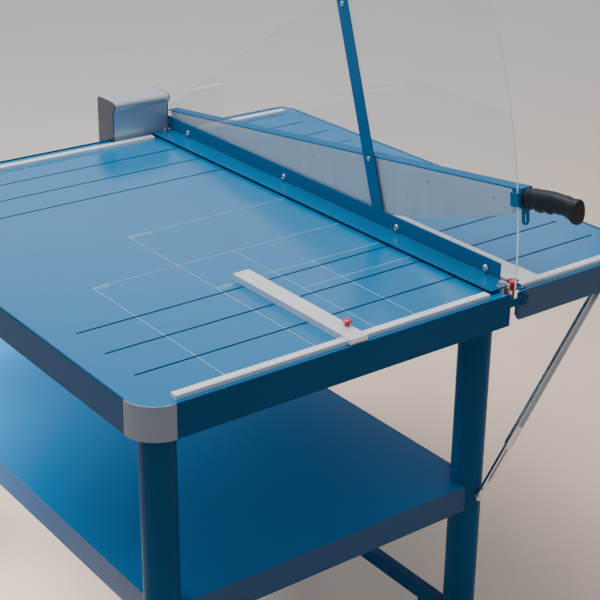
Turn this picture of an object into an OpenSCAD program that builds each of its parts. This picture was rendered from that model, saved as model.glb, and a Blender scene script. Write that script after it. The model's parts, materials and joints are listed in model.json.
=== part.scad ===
// Large-format lever paper trimmer: a grooved table on a stand, a hinged blade arm beside a clear guard,
// a foot-operated clamp bar and a side table that folds down.
// Sub-parts are drawn in the cutting frame: x = 0 on the cutting line, y = 0 on the face of the front
// stop rail, z = 0 on the table top. placed() then moves the origin to the floor, under the middle.

/* [Table] */
// Height of the table top above the floor
table_h = 800; // [740:10:900]
// Cutting line to the outer face of the left apron
main_w = 763; // [740:1:800]
// Cutting line to the right edge of the side table
side_w = 345; // [320:1:400]
// Front stop face to the outer face of the front apron
front_over = 28; // [26:1:32]
// Depth over the front and rear aprons
depth = 1161; // [1155:1:1175]
// Height of the aprons below the table top
apron_h = 57; // [54:1:62]
// Wall thickness of the aprons
apron_t = 3.5; // [3:0.5:4]
// Outer radius of the silver corner pieces
corner_r = 57; // [45:1:70]
// Thickness of the table plates
plate_t = 3; // [2.5:0.5:4]
// Gap between a table plate and its aprons
seam = 1.5; // [1:0.5:2]

/* [Stops and grooves] */
// Front stop to rear stop
cut_len = 1078; // [1070:1:1082]
// Width of the stop rails
rail_w = 15; // [12:1:17]
// Height of the stop rails
rail_h = 8; // [6:1:9]
// Width of a groove
groove_w = 2.6; // [2:0.2:3]
// Depth of a groove
groove_d = 1.2; // [0.8:0.1:1.5]

/* [Blade] */
// Height of the arm above its level position, as the arm stands
rest_angle = 6.76; // [0:0.01:12]
// Radius of the knife's curved cutting edge
blade_r = 2285; // [2200:5:2400]
// Thickness of the knife
blade_t = 5; // [4:0.5:5]

/* [Guard and clamp] */
// Radius of the guard's front edge about the blade pivot
guard_r = 1135.5; // [1134:0.5:1136]
// Thickness of the clear guard
guard_t = 4; // [3:0.5:4]
// Slope of the guard's upper edge
guard_slope = 31.3; // [31:0.1:33]
// Radius of the guard's top corner
guard_corner_r = 60; // [40:5:80]
// Height of the clamp bar above the table when it is raised
clamp_lift = 5.2; // [4.5:0.1:6]
// Sheet thickness of the clamp bar
clamp_t = 2.6; // [2:0.1:2.8]
// Top of the clamp bar's upright flange above the table
clamp_top = 39; // [36:1:44]

/* [Stand] */
// Outer diameter of the legs
leg_d = 60; // [54:1:60]
// Wall thickness of the legs
leg_wall = 3; // [2:0.5:4]
// Table top to shelf top
shelf_drop = 390; // [350:5:450]
// Height of the shelf's rim
shelf_rim = 53; // [40:1:60]

/* [Hidden] */
$fn = 64;
eps = 0.01;
knife_screw_ys = [100 : 150 : 1000];

// Outlines of the table
y_front = -front_over;
y_rear = depth - front_over;
plate_y0 = y_front + apron_t + seam;
plate_y1 = y_rear - apron_t - seam;
main_plate_x0 = -main_w + apron_t + seam;
apron_top = 2.5;
beam_w = 14;
knife_w = 6;
beam_x0 = -knife_w - beam_w;
beam_y = [14, 1088];
main_plate_x1 = beam_x0 - 0.5;
apron_x1 = -25;
rail_x0 = -699;
rail_x1 = -64;
front_grooves = [91, 182, 273];
rear_grooves = [820, 908, 996];
grooves = concat(front_grooves, rear_grooves);
groove_x0 = -706;
side_groove_x0 = 78;
side_groove_x1 = 303;

// Blade arm: its own frame has the pivot at the origin, the arm along -y and its height along z
pivot_y = 1122;
pivot_z = 18;
pin_r = 6;
bush_r = 7.6;
blade_x0 = 0.5;
web_us = [1138.5, 1141.5];
blade_len = 1121;
blade_top = 29;
blade_tip_z = -15;
blade_heel = 60;
blade_heel_z = -40;
carrier_t = 3.5;
carrier_w = 27;

// Side table hinge
hinge_x = 6;
hinge_z = -15;
side_apron_y0 = y_front + 4;
side_apron_y1 = y_rear - 4;
side_apron_x0 = -3.5;
side_apron_h = 54;
side_corner_r = 40;
corner_proud = 0.4;
side_apron_top = 1;
side_plate_x0 = 8;
strip_w = 58;

// Stays
stay_top_x = 252;
stay_top_z = -44;
stay_foot_x = -38.5;
stay_foot_z = -414;
stay_y = 1.5;
stay_t = 7.5;
stay_w = 18;
stud_r = 6;
stay_len = norm([stay_top_x - stay_foot_x, stay_top_z - stay_foot_z]);
stay_slope = atan2(stay_top_z - stay_foot_z, stay_top_x - stay_foot_x);
screw_us = [stay_len - 16, stay_len];

// Legs
leg_x = [-701, -39];
leg_y = [40, 1065];
leg_top = -apron_h + 2;
foot_h = 26;

// Clamp and its drive
guard_x0 = -guard_t;
flange_x0 = guard_x0 - clamp_t;
foot_x0 = -52;
clamp_y0 = 22;
clamp_y1 = 1104;
rod_x = -22;
rod_ys = [3, 1100];
rod_r = 4;
shaft_x = -75;
shaft_z = -36;
shaft_r = 8;
spring_seat_z = -14;
pedal_rod_x = -30;
pedal_rod_y = 82;
pedal_rod_r = 5;
pedal_z = -740;
pedal_pivot_y = pedal_rod_y + 34;
pedal_arm_x = -104;
pedal_front = -128;
bolt_ys = [58, 301, 661, 1027];
bolt_z = 18;
strap_lean = 18;
strap_w = 31;
strap_y = 358.5;
strap_len = 408;

// Grip, and how far its end stands in front of the cut at rest
grip_reach = 134.13;
grip_x = 12.5;
grip_z = 13.5;

// Buffer that the arm comes down on
buffer_x = 14.5;
buffer_y = 7;
buffer_r = 8.3;
buffer_top = 7.1;

// Rear housing
house_x0 = -152;
house_x1 = -6;
house_y0 = 1110;
house_y1 = 1177;
house_top = 94;
house_bottom = -52;
house_t = 2.5;
lip_r = 11;

// Back gauge
gauge_x = -359.5;
gauge_w = 35;

module placed() {
  translate([(main_w + corner_proud - side_w) / 2, -(house_y1 - grip_reach) / 2, table_h]) children();
}

// Extrudes an outline drawn in (y, z) along x
module side_view(x0, t) {
  translate([x0, 0, 0]) rotate([90, 0, 90]) linear_extrude(t) children();
}

// Extrudes an outline drawn in (x, z) along y
module front_view(y0, t) {
  translate([0, y0 + t, 0]) rotate([90, 0, 0]) linear_extrude(t) children();
}

// The blade arm as it stands, raised by the rest angle about its pivot
module on_arm() {
  placed() translate([0, pivot_y, pivot_z]) rotate([-rest_angle, 0, 0]) children();
}

// The rear counterpart of a distance behind the front of the table
function far_y(y) = y_front + y_rear - y;

module block(x, y, z) {
  translate([x[0], y[0], z[0]]) cube([x[1] - x[0], y[1] - y[0], z[1] - z[0]]);
}

module rod_x_axis(x0, x1, r) {
  translate([x0, 0, 0]) rotate([0, 90, 0]) cylinder(r = r, h = x1 - x0);
}

module rod_y_axis(y0, y1, r) {
  translate([0, y1, 0]) rotate([90, 0, 0]) cylinder(r = r, h = y1 - y0);
}

// ---- Stand ----

module leg(x, y) {
  color([0, 0.28, 0.47]) placed() translate([x, y, -table_h + foot_h]) difference() {
    cylinder(d = leg_d, h = table_h - foot_h + leg_top);
    translate([0, 0, 12]) cylinder(d = leg_d - 2 * leg_wall, h = table_h);
    translate([0, 0, -1]) cylinder(r = 6.05, h = 14);
    // hole for the stay's stud, in the outer wall of the right-hand legs
    if (x == leg_x[1]) translate([stay_foot_x - x, 0, table_h - foot_h + stay_foot_z])
      rod_y_axis(y == leg_y[0] ? -leg_d : 0, y == leg_y[0] ? 0 : leg_d, stud_r);
  }
}

module leg_front_left() { leg(leg_x[0], leg_y[0]); }
module leg_front_right() { leg(leg_x[1], leg_y[0]); }
module leg_rear_left() { leg(leg_x[0], leg_y[1]); }
module leg_rear_right() { leg(leg_x[1], leg_y[1]); }

module levelling_feet() {
  color([0.12, 0.12, 0.13]) placed() for (x = leg_x, y = leg_y) translate([x, y, -table_h]) {
    cylinder(r1 = 27, r2 = 25, h = 10);
    cylinder(r = 11, h = 20, $fn = 6);
    cylinder(r = 6, h = 38);
  }
}

// Plates under the table corners that the legs are welded to, resting on the aprons' lower lips
module socket_outline() {
  r = corner_r - apron_t - seam;
  translate([-main_w + corner_r, y_front + corner_r]) circle(r = r);
  translate([-main_w + corner_r, y_front + apron_t + seam]) square([34, leg_d + 30]);
  translate([-main_w + apron_t + seam, y_front + corner_r]) square([corner_r + 20, leg_d - 20]);
}

module leg_sockets() {
  mid_y = (leg_y[0] + leg_y[1]) / 2;
  color([0.1, 0.3, 0.48]) placed() for (flip = [0, 1]) {
    translate([0, mid_y, 0]) mirror([0, flip, 0]) translate([0, -mid_y, 0]) {
      translate([0, 0, leg_top]) linear_extrude(5) socket_outline();
      difference() {
        block([leg_x[1] - 34, -16], [y_front + 8.5, leg_y[0] + 34], [leg_top, leg_top + 5]);
        translate([rod_x, rod_ys[0], leg_top - 1]) cylinder(r = 12, h = 7);
      }
    }
  }
}

module shelf_tray() {
  x = [leg_x[0] - 12, leg_x[1] + 12];
  y = [leg_y[0] - 22, leg_y[1] + 22];
  wall = 2;
  bottom = -shelf_drop - shelf_rim;
  color([0.02, 0.38, 0.62]) placed() difference() {
    block(x, y, [bottom, -shelf_drop]);
    block([x[0] + wall, x[1] - wall], [y[0] + wall, y[1] - wall], [bottom - 1, -shelf_drop - wall]);
    for (cx = leg_x, cy = leg_y) {
      sx = cx < -200 ? -40 : 40;
      sy = cy < 500 ? -40 : 40;
      translate([cx, cy, bottom - 1]) cylinder(d = leg_d + 0.8, h = shelf_rim + 2);
      block([min(cx, cx + sx), max(cx, cx + sx)], [min(cy, cy + sy), max(cy, cy + sy)],
        [bottom - 1, -shelf_drop + 1]);
    }
    // notch for the pedal's pull rod
    block([pedal_rod_x - 10, 0], [pedal_rod_y - 24, pedal_rod_y + 12], [bottom - 1, -shelf_drop + 1]);
  }
}

// Studs on the legs where the stays' lower ends are held
module stay_anchors() {
  front = stay_y + stay_t + 0.5;
  back = leg_y[0] - leg_d / 2 + leg_wall + 2;
  color([0.6, 0.6, 0.62]) placed() translate([stay_foot_x, 0, stay_foot_z]) {
    rod_y_axis(front, back, stud_r);
    rod_y_axis(far_y(back), far_y(front), stud_r);
  }
}

// ---- Main table ----

// Apron section: outer face on x = 0, rounded upper edge, a ledge for the plate and a lower lip
module apron_section(lip = 12) {
  top_r = apron_t / 2;
  translate([0, -apron_h]) square([apron_t, apron_h + apron_top - top_r]);
  translate([top_r, apron_top - top_r]) circle(r = top_r);
  translate([0, -plate_t - 2.5]) square([lip, 2.5]);
  translate([0, -apron_h]) square([lip, 2]);
}

module front_apron() {
  x0 = -main_w + corner_r;
  color([0, 0.2, 0.34]) placed() difference() {
    translate([x0, y_front, 0]) rotate([90, 0, 90]) linear_extrude(apron_x1 - x0) apron_section();
    block([-48, 0], [y_front + apron_t, 0], [-apron_h - 1, apron_top + 1]);
  }
}

module rear_apron() {
  x0 = -main_w + corner_r;
  color([0, 0.2, 0.34]) placed() difference() {
    translate([apron_x1, y_rear, 0]) rotate([90, 0, -90]) linear_extrude(apron_x1 - x0) apron_section();
    block([-48, 0], [y_rear - 30, y_rear - apron_t], [-apron_h - 1, apron_top + 1]);
  }
}

module left_apron() {
  y0 = y_front + corner_r;
  y1 = y_rear - corner_r;
  color([0, 0.3, 0.45]) placed() translate([-main_w, y1, 0]) rotate([90, 0, 0])
    linear_extrude(y1 - y0) apron_section();
}

module corner_piece() {
  lip = 8;
  top_r = (apron_t + corner_proud) / 2;
  rotate_extrude(angle = 90) {
    translate([corner_r - apron_t, -apron_h]) square([2 * top_r, apron_h + apron_top - top_r]);
    translate([corner_r - apron_t + top_r, apron_top - top_r]) circle(r = top_r);
    translate([corner_r - lip, -apron_h]) square([lip, 2]);
  }
}

module corner_pieces() {
  color([0.72, 0.72, 0.74]) placed() {
    translate([-main_w + corner_r, y_front + corner_r, 0]) rotate([0, 0, 180]) corner_piece();
    translate([-main_w + corner_r, y_rear - corner_r, 0]) rotate([0, 0, 90]) corner_piece();
  }
}

module groove(x0, x1, y) {
  translate([x0, y, -groove_d]) cylinder(d = groove_w, h = groove_d + 1, $fn = 24);
  translate([x1, y, -groove_d]) cylinder(d = groove_w, h = groove_d + 1, $fn = 24);
  block([x0, x1], [y - groove_w / 2, y + groove_w / 2], [-groove_d, 1]);
}

module table_plate() {
  r = corner_r - apron_t - seam;
  cx = -main_w + corner_r;
  cy = [y_front + corner_r, y_rear - corner_r];
  notch_x = -30;
  color([0.24, 0.55, 0.72]) placed() difference() {
    union() {
      for (y = cy) translate([cx, y, -plate_t]) cylinder(r = r, h = plate_t, $fn = 96);
      block([cx, main_plate_x1], [plate_y0, plate_y1], [-plate_t, 0]);
      block([main_plate_x0, cx], cy, [-plate_t, 0]);
    }
    for (y = grooves) groove(groove_x0, main_plate_x1 - 8, y);
    // the pull rods pass in front of and behind the knife beam
    block([notch_x, 0], [plate_y0 - 1, beam_y[0] - 1], [-plate_t - 1, 1]);
    block([notch_x, 0], [beam_y[1] + 1, plate_y1 + 1], [-plate_t - 1, 1]);
  }
}

// Bar that carries the bed knife, with a spring seat in front of and behind it for the clamp
module knife_beam() {
  seat_x = [rod_x - 8, -14.5];
  color([0.1, 0.25, 0.4]) placed() difference() {
    union() {
      block([beam_x0, -knife_w], beam_y, [-45, 0]);
      block(seat_x, [rod_ys[0] - 8, beam_y[0]], [spring_seat_z - 3, spring_seat_z]);
      block(seat_x, [beam_y[1], rod_ys[1] + 8], [spring_seat_z - 3, spring_seat_z]);
    }
    for (y = knife_screw_ys) translate([0, y, -18]) rod_x_axis(-17, 10, 3);
    for (y = rod_ys) translate([rod_x, y, -30]) cylinder(r = rod_r + 0.8, h = 30);
  }
}

module bed_knife() {
  color([0.75, 0.75, 0.77]) placed() {
    block([-knife_w, 0], [0, 1100], [-32, 0]);
    for (y = knife_screw_ys) translate([0, y, -18]) rod_x_axis(-17, -knife_w + eps, 3);
  }
}

module front_rail() {
  color([0.88, 0.88, 0.88]) placed() translate([rail_x0, 0, 0]) rotate([90, 0, 90])
    linear_extrude(rail_x1 - rail_x0) rail_section();
}

module rear_rail() {
  color([0.88, 0.88, 0.88]) placed() translate([rail_x0, cut_len + rail_w, 0]) rotate([90, 0, 90])
    linear_extrude(rail_x1 - rail_x0) rail_section();
}

// Rail section with its stop face on the right of x = 0: a body with a chamfered upper outer edge
module rail_section() {
  polygon([[-rail_w, 0], [-rail_w, rail_h - 1], [-rail_w + 1, rail_h], [-0.6, rail_h], [0, rail_h - 0.6],
    [0, 0]]);
}

// ---- Rear housing and pivot ----

// Outline of the housing in (y, z): upright box with a rounded back edge and a bull-nosed front lip
module house_outline(inset) {
  y0 = house_y0 + inset;
  y1 = house_y1 - inset;
  top = house_top - inset;
  back_r = 8 - inset;
  translate([y0, house_bottom]) square([y1 - y0, top - back_r - house_bottom]);
  translate([y0, top - 30]) square([y1 - back_r - y0, 30]);
  translate([y1 - back_r, top - back_r]) circle(r = back_r);
  translate([house_y0 + 2, house_top - lip_r]) circle(r = lip_r - inset);
}

// The housing stands over the table's rear edge: its lower front part is cut away
module over_table(depth_y, z) {
  translate([house_y0 - 5, house_bottom - 1]) square([depth_y + 5, z - house_bottom + 1]);
}

module housing_shell() {
  color([0.68, 0.69, 0.72]) placed() side_view(house_x0 + 3, house_x1 - house_x0 - 6) difference() {
    house_outline(0);
    difference() {
      house_outline(house_t);
      translate([house_y0, house_bottom - 1]) square([90, 1]);
    }
    over_table(house_t + 0.5, 0.5);
  }
}

module housing_left_cap() {
  color([0.4, 0.41, 0.44]) placed() side_view(house_x0, 3) difference() {
    house_outline(0);
    over_table(26, 3.2);
  }
}

module housing_right_cap() {
  color([0.4, 0.41, 0.44]) placed() side_view(house_x1 - 3, 3) difference() {
    house_outline(0);
    over_table(26, 3.2);
    translate([pivot_y, pivot_z]) circle(r = pin_r + 1);
  }
}

module pivot_block() {
  y0 = y_rear + 0.5;
  color([0.3, 0.31, 0.33]) placed() difference() {
    union() {
      side_view(-48, 30) {
        translate([pivot_y, pivot_z]) circle(r = 9.4);
        translate([y0, -46]) square([26, 60]);
        translate([pivot_y, 8.6]) square([20, 18.8]);
      }
      block([-112, -20], [y0, y0 + 8], [-46, -4]);
      // rest for the spring's leg
      block([-86, -78], [y0, y0 + 8], [-4.5, pivot_z - 9.2]);
    }
    translate([0, pivot_y, pivot_z]) rod_x_axis(-60, 0, bush_r);
  }
}

module pivot_bush() {
  color([0.8, 0.62, 0.25]) placed() translate([0, pivot_y, pivot_z]) difference() {
    rod_x_axis(-48, -18, bush_r);
    rod_x_axis(-60, 0, pin_r + 0.05);
  }
}

// Torsion spring round the pivot pin: turns of wire and a leg down to the pivot block's foot
module lift_spring() {
  wire = 1.4;
  coil_r = 7.8;
  turns = 6;
  color([0.35, 0.35, 0.38]) placed() translate([-82, pivot_y, pivot_z]) {
    for (i = [0 : turns - 1]) translate([i * 2 * wire, 0, 0]) rotate([0, 90, 0])
      rotate_extrude() translate([coil_r, 0]) circle(r = wire + 0.05, $fn = 20);
    translate([0, 0, -coil_r]) rod_y_axis(0, 19, wire, $fn = 20);
  }
}

// ---- Side table hinge, stop buffer ----

// Hinge ear: a bar from the end of the main apron to a round boss on the hinge axis
module hinge_bracket() {
  ear_r = 11;
  difference() {
    union() {
      rod_at_hinge(y_front - 0.5, y_front + apron_t, ear_r);
      block([apron_x1, hinge_x], [y_front, y_front + apron_t], [hinge_z - 7, hinge_z + 6]);
    }
    rod_at_hinge(y_front - 1, y_front + apron_t + 1, 4);
  }
}

module rod_at_hinge(y0, y1, r) {
  translate([hinge_x, 0, hinge_z]) rod_y_axis(y0, y1, r);
}

module hinge_brackets() {
  color([0, 0.33, 0.55]) placed() mirrored_over_depth() hinge_bracket();
}

// A piece at the front of the table, and its mirror image at the rear
module mirrored_over_depth() {
  children();
  translate([0, y_front + y_rear, 0]) mirror([0, 1, 0]) children();
}

module hinge_pins() {
  color([0.7, 0.7, 0.72]) placed() mirrored_over_depth() {
    rod_at_hinge(y_front - 0.6, side_apron_y0 + apron_t + 0.6, 4);
    rod_at_hinge(y_front - 2.6, y_front - 0.5, 6.5);
  }
}

// Angle on the front end of the knife beam that carries the buffer pin
module buffer_bracket() {
  plate_z = [-35.5, -32.2];
  color([0, 0.33, 0.55]) placed() difference() {
    union() {
      block([-14, 18.6], [-8, beam_y[0]], plate_z);
      block([-14, -6.2], [beam_y[0] - 3.5, beam_y[0]], [plate_z[0], -5]);
    }
    translate([buffer_x, buffer_y, -40]) cylinder(r = 3, h = 20);
  }
}

module buffer_pin() {
  color([0.75, 0.75, 0.77]) placed() translate([buffer_x, buffer_y, 0]) {
    translate([0, 0, -39.5]) cylinder(r = 3, h = 39.5);
    translate([0, 0, -32.2]) rotate([0, 0, 30]) cylinder(r = 5, h = 3.5, $fn = 6);
    translate([0, 0, -39]) rotate([0, 0, 30]) cylinder(r = 5, h = 3.5, $fn = 6);
  }
}

module buffer_cap() {
  edge = 3.5;
  height = 15.5;
  color([0.75, 0.08, 0.1]) placed() translate([buffer_x, buffer_y, buffer_top - height]) difference() {
    rotate_extrude() {
      square([buffer_r, height - edge]);
      square([buffer_r - edge, height]);
      translate([buffer_r - edge, height - edge]) circle(r = edge);
    }
    translate([0, 0, -1]) cylinder(r = 3, h = height - buffer_top + 1);
  }
}

// ---- Side table ----

// Side apron outline in (x, z), with rounded left corners
module side_apron_outline() {
  x0 = side_apron_x0;
  x1 = side_w - side_corner_r;
  low_r = 8;
  top_r = 5;
  difference() {
    union() {
      translate([x0 + low_r, -side_apron_h]) square([x1 - x0 - low_r, side_apron_h]);
      translate([x0, low_r - side_apron_h]) square([x1 - x0, side_apron_h + side_apron_top - low_r - top_r]);
      translate([x0 + top_r, -top_r]) square([x1 - x0 - top_r, side_apron_top + top_r]);
      translate([x0 + low_r, low_r - side_apron_h]) circle(r = low_r);
      translate([x0 + top_r, side_apron_top - top_r]) circle(r = top_r);
    }
    translate([hinge_x, hinge_z]) circle(r = 4.06);
  }
}

// One end of the side tray: apron, rounded outer corner, and the rounded return below the hinge
module side_tray_end() {
  corner = side_corner_r;
  back_r = 7;
  return_z = [-46, -23];
  x0 = side_apron_x0;
  y0 = side_apron_y0;
  difference() {
    front_view(y0, apron_t) side_apron_outline();
    block([x0 - 1, x0 + back_r], [y0 - 1, y0 + apron_t + 1], return_z);
  }
  translate([side_w - corner, y0 + corner, -side_apron_h]) rotate([0, 0, 270])
    rotate_extrude(angle = 90, $fn = 96) translate([corner - apron_t, 0])
      square([apron_t, side_apron_h + side_apron_top]);
  translate([x0 + back_r, y0 + back_r, return_z[0]]) rotate([0, 0, 180])
    rotate_extrude(angle = 90) translate([back_r - apron_t, 0]) square([apron_t, return_z[1] - return_z[0]]);
}

module side_tray() {
  corner = side_corner_r;
  cy = [side_apron_y0 + corner, side_apron_y1 - corner];
  x1 = side_w - corner;
  color([0.24, 0.55, 0.72]) placed() difference() {
    union() {
      mirrored_over_depth() side_tray_end();
      block([side_w - apron_t, side_w], cy, [-side_apron_h, side_apron_top]);
      block([side_plate_x0, x1], [side_apron_y0 + 1, side_apron_y1 - 1], [-plate_t, 0]);
      block([x1 - 1, side_w - 1], cy, [-plate_t, 0]);
      for (y = cy) translate([x1, y, -plate_t]) cylinder(r = corner - 1, h = plate_t, $fn = 96);
    }
    buffer_bite();
    // slot that the arm's locking tongue drops through
    block([0, 22], [side_apron_y0 + apron_t, -14.5], [-plate_t - 1, 1]);
    for (y = grooves) groove(side_groove_x0, side_groove_x1, y);
    // seam between the top and the aprons
    seam_channel();
  }
}

// Room round the stop buffer
module buffer_bite() {
  r = buffer_r + 1;
  translate([buffer_x, buffer_y, -20]) cylinder(r = r, h = 40);
  block([side_plate_x0 - 1, buffer_x], [buffer_y - r, buffer_y + r], [-20, 20]);
}

module seam_channel() {
  depth_z = 1;
  x1 = side_w - side_corner_r;
  inner = side_corner_r - apron_t;
  z = [-depth_z, side_apron_top + 1];
  block([side_plate_x0 - 1, x1], [side_apron_y0 + apron_t, side_apron_y0 + apron_t + seam], z);
  block([side_plate_x0 - 1, x1], [side_apron_y1 - apron_t - seam, side_apron_y1 - apron_t], z);
  block([side_w - apron_t - seam, side_w - apron_t], [side_apron_y0 + side_corner_r,
    side_apron_y1 - side_corner_r], z);
  for (end = [0, 1]) translate([x1, end == 0 ? side_apron_y0 + side_corner_r :
    side_apron_y1 - side_corner_r, -depth_z]) rotate([0, 0, end == 0 ? 270 : 0])
    rotate_extrude(angle = 90, $fn = 96) translate([inner - seam, 0]) square([seam, depth_z + 2]);
}

// Aluminium channel beside the cut, flush with the stop rails
module side_strip() {
  x0 = side_plate_x0;
  front_x = 13;
  wall = 2;
  color([0.92, 0.92, 0.92]) placed() difference() {
    block([x0, x0 + strip_w], [-rail_w, cut_len], [0, rail_h]);
    block([x0 + wall, x0 + strip_w - wall], [-rail_w + wall, cut_len - wall], [-1, rail_h - wall]);
    block([x0 - 1, front_x], [-rail_w - 1, 0], [-1, rail_h + 1]);
    buffer_bite();
  }
}

module side_rail(y) {
  x0 = side_plate_x0 + strip_w;
  color([0.88, 0.88, 0.88]) placed() translate([x0, y, 0]) rotate([90, 0, 90])
    linear_extrude(305 - x0) rail_section();
}

module side_front_rail() { side_rail(0); }
module side_rear_rail() { side_rail(cut_len + rail_w); }

module stay_bracket() {
  wall = side_apron_y0 + apron_t;
  color([0.1, 0.3, 0.48]) {
    block([stay_top_x - 14, stay_top_x + 14], [wall, stay_y - 0.5], [stay_top_z - 9, -plate_t]);
    translate([stay_top_x, 0, stay_top_z]) rod_y_axis(-8, stay_y + stay_t + 1, 3.5);
    translate([stay_top_x, 0, stay_top_z]) rod_y_axis(stay_y + stay_t + 0.5, stay_y + stay_t + 3.5, 6);
  }
}

module stay_brackets() {
  placed() mirrored_over_depth() stay_bracket();
}

// ---- Stays: drawn along their own length from the top pivot, in (x, z), then turned into place ----

module stay_placed(rear) {
  placed() translate([0, rear ? far_y(stay_y + stay_t) : stay_y, 0])
    translate([stay_top_x, stay_t, stay_top_z]) rotate([90, 0, 0])
      rotate([0, 0, stay_slope + 180]) children();
}

module stay_rail(rear) {
  wall = 1.6;
  end = stay_len - 110;
  open_z = rear ? [-1, stay_t - wall] : [wall, stay_t + 1];
  difference() {
    union() {
      cylinder(d = stay_w, h = stay_t);
      translate([0, -stay_w / 2, 0]) cube([end, stay_w, stay_t]);
    }
    translate([0, 0, -1]) cylinder(r = 3.56, h = stay_t + 2);
    block([14, end + 1], [wall - stay_w / 2, stay_w / 2 - wall], open_z);
  }
}

module stay_slotted_end(rear) {
  wall = 1.6;
  half_w = stay_w / 2 - wall - 0.1;
  start = stay_len - 150;
  slot = [stay_len - 100, stay_len - 36];
  z = rear ? [0.4, stay_t - wall - 0.1] : [wall + 0.1, stay_t - 0.4];
  difference() {
    union() {
      block([start, stay_len], [-half_w, half_w], z);
      translate([stay_len, 0, z[0]]) cylinder(r = half_w, h = z[1] - z[0]);
    }
    block(slot, [-2.4, 2.4], [-1, stay_t + 1]);
    for (u = slot) translate([u, 0, -1]) cylinder(r = 2.4, h = stay_t + 2);
    for (u = screw_us) translate([u, 0, -1]) cylinder(r = 3, h = stay_t + 2);
  }
}

// Screws in the lower end. They stop short of the leg, where the linkage is open.
module stay_screws(rear) {
  for (u = screw_us) translate([u, 0, 0]) {
    translate([0, 0, rear ? 0.4 : 1.7]) cylinder(r = 2.98, h = stay_t - 2.1);
    translate([0, 0, rear ? -1.9 : stay_t - 0.4]) cylinder(r = 4.8, h = 2.3);
  }
}

module front_stay_rail() { color([0.7, 0.7, 0.72]) stay_placed(false) stay_rail(false); }
module front_stay_slotted_end() { color([0.45, 0.45, 0.47]) stay_placed(false) stay_slotted_end(false); }
module front_stay_screws() { color([0.75, 0.75, 0.77]) stay_placed(false) stay_screws(false); }
module rear_stay_rail() { color([0.7, 0.7, 0.72]) stay_placed(true) stay_rail(true); }
module rear_stay_slotted_end() { color([0.45, 0.45, 0.47]) stay_placed(true) stay_slotted_end(true); }
module rear_stay_screws() { color([0.75, 0.75, 0.77]) stay_placed(true) stay_screws(true); }

// ---- Clamp and guard ----

module clamp_bar() {
  bend_r = 3;
  low = clamp_lift;
  color([0, 0.34, 0.58]) placed() difference() {
    union() {
      block([foot_x0, -11], [-5, clamp_y1 + 5], [low, low + clamp_t]);
      block([-11 - eps, guard_x0 - bend_r], [clamp_y0, clamp_y1], [low, low + clamp_t]);
      block([flange_x0, guard_x0], [clamp_y0, clamp_y1], [low + bend_r, clamp_top]);
      intersection() {
        translate([guard_x0 - bend_r, 0, low + bend_r]) rod_y_axis(clamp_y0, clamp_y1, bend_r);
        block([guard_x0 - bend_r, guard_x0], [clamp_y0, clamp_y1], [low, low + bend_r]);
      }
    }
    for (y = rod_ys) translate([rod_x, y, 0]) cylinder(r = rod_r, h = 30);
    for (y = bolt_ys) translate([0, y, bolt_z]) rod_x_axis(-20, 10, rod_r);
  }
}

// Compression springs round the pull rods, between the spring seats and the clamp foot
module clamp_springs() {
  wire = 1.1;
  top = clamp_lift - 0.1;
  turns = 7;
  pitch = (top - spring_seat_z - 2 * wire - 0.2) / (turns - 1);
  color([0.7, 0.7, 0.72]) placed() for (y = rod_ys, i = [0 : turns - 1])
    translate([rod_x, y, spring_seat_z + 0.1 + wire + i * pitch])
      rotate_extrude($fn = 40) translate([rod_r + 2.1, 0]) circle(r = wire, $fn = 14);
}

// Outline of the guard in (y, z), about the blade pivot. Its front edge is an arc about the pivot,
// and its toe hangs lower, in front of the bed knife.
module guard_outline() {
  bottom = clamp_lift + 1.2 - pivot_z;
  toe_bottom = -4 - pivot_z;
  toe_back = -pivot_y - 1;
  rear = pivot_y - clamp_y1 + 1;
  top_gap = 31.5;
  r = guard_corner_r;
  along = sqrt(pow(guard_r - r, 2) - pow(r - top_gap, 2));
  toe_r = 5;
  toe_y = sqrt(pow(guard_r - toe_r, 2) - pow(toe_bottom + toe_r, 2));
  far = 2 * guard_r;
  difference() {
    intersection() {
      circle(r = guard_r, $fn = 720);
      union() {
        translate([-far, bottom]) square([far - rear, far]);
        translate([-far, toe_bottom]) square([far + toe_back, far]);
      }
      rotate(-guard_slope) translate([-far, -far]) square([2 * far, far + top_gap]);
    }
    rotate(-guard_slope) difference() {
      polygon([[-along, top_gap - r], [-along, far], [-far, far], [-far, -far * (r - top_gap) / along]]);
      translate([-along, top_gap - r]) circle(r = r, $fn = 96);
    }
    difference() {
      polygon([[-toe_y, toe_bottom + toe_r], [-toe_y, toe_bottom - far], [-far, toe_bottom - far],
        [-far, far * (toe_bottom + toe_r) / toe_y]]);
      translate([-toe_y, toe_bottom + toe_r]) circle(r = toe_r);
    }
  }
}

// Centres of the strap's two screws, as distances along it
strap_screws = [97, strap_len - 16];

module strap_frame() {
  translate([0, strap_y, clamp_top]) rotate([-strap_lean, 0, 0]) children();
}

module blade_guard() {
  color([0.85, 0.92, 0.95, 0.3]) placed() difference() {
    translate([0, pivot_y, pivot_z]) side_view(guard_x0, guard_t) guard_outline();
    for (y = bolt_ys) translate([0, y, bolt_z]) rod_x_axis(-20, 10, rod_r);
    strap_frame() for (s = strap_screws) translate([0, 0, s]) rod_x_axis(-20, 10, 3);
  }
}

module guard_strap() {
  color([0, 0.4, 0.62]) placed() difference() {
    strap_frame() side_view(flange_x0, clamp_t) {
      translate([-strap_w / 2, -20]) square([strap_w, strap_len + 20 - 6]);
      translate([-strap_w / 2 + 6, 0]) square([strap_w - 12, strap_len]);
      for (s = [-1, 1]) translate([s * (strap_w / 2 - 6), strap_len - 6]) circle(r = 6);
    }
    block([-30, 10], [0, 1000], [-50, clamp_top]);
    strap_frame() for (s = strap_screws) translate([0, 0, s]) rod_x_axis(-20, 10, 3);
  }
}

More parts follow.
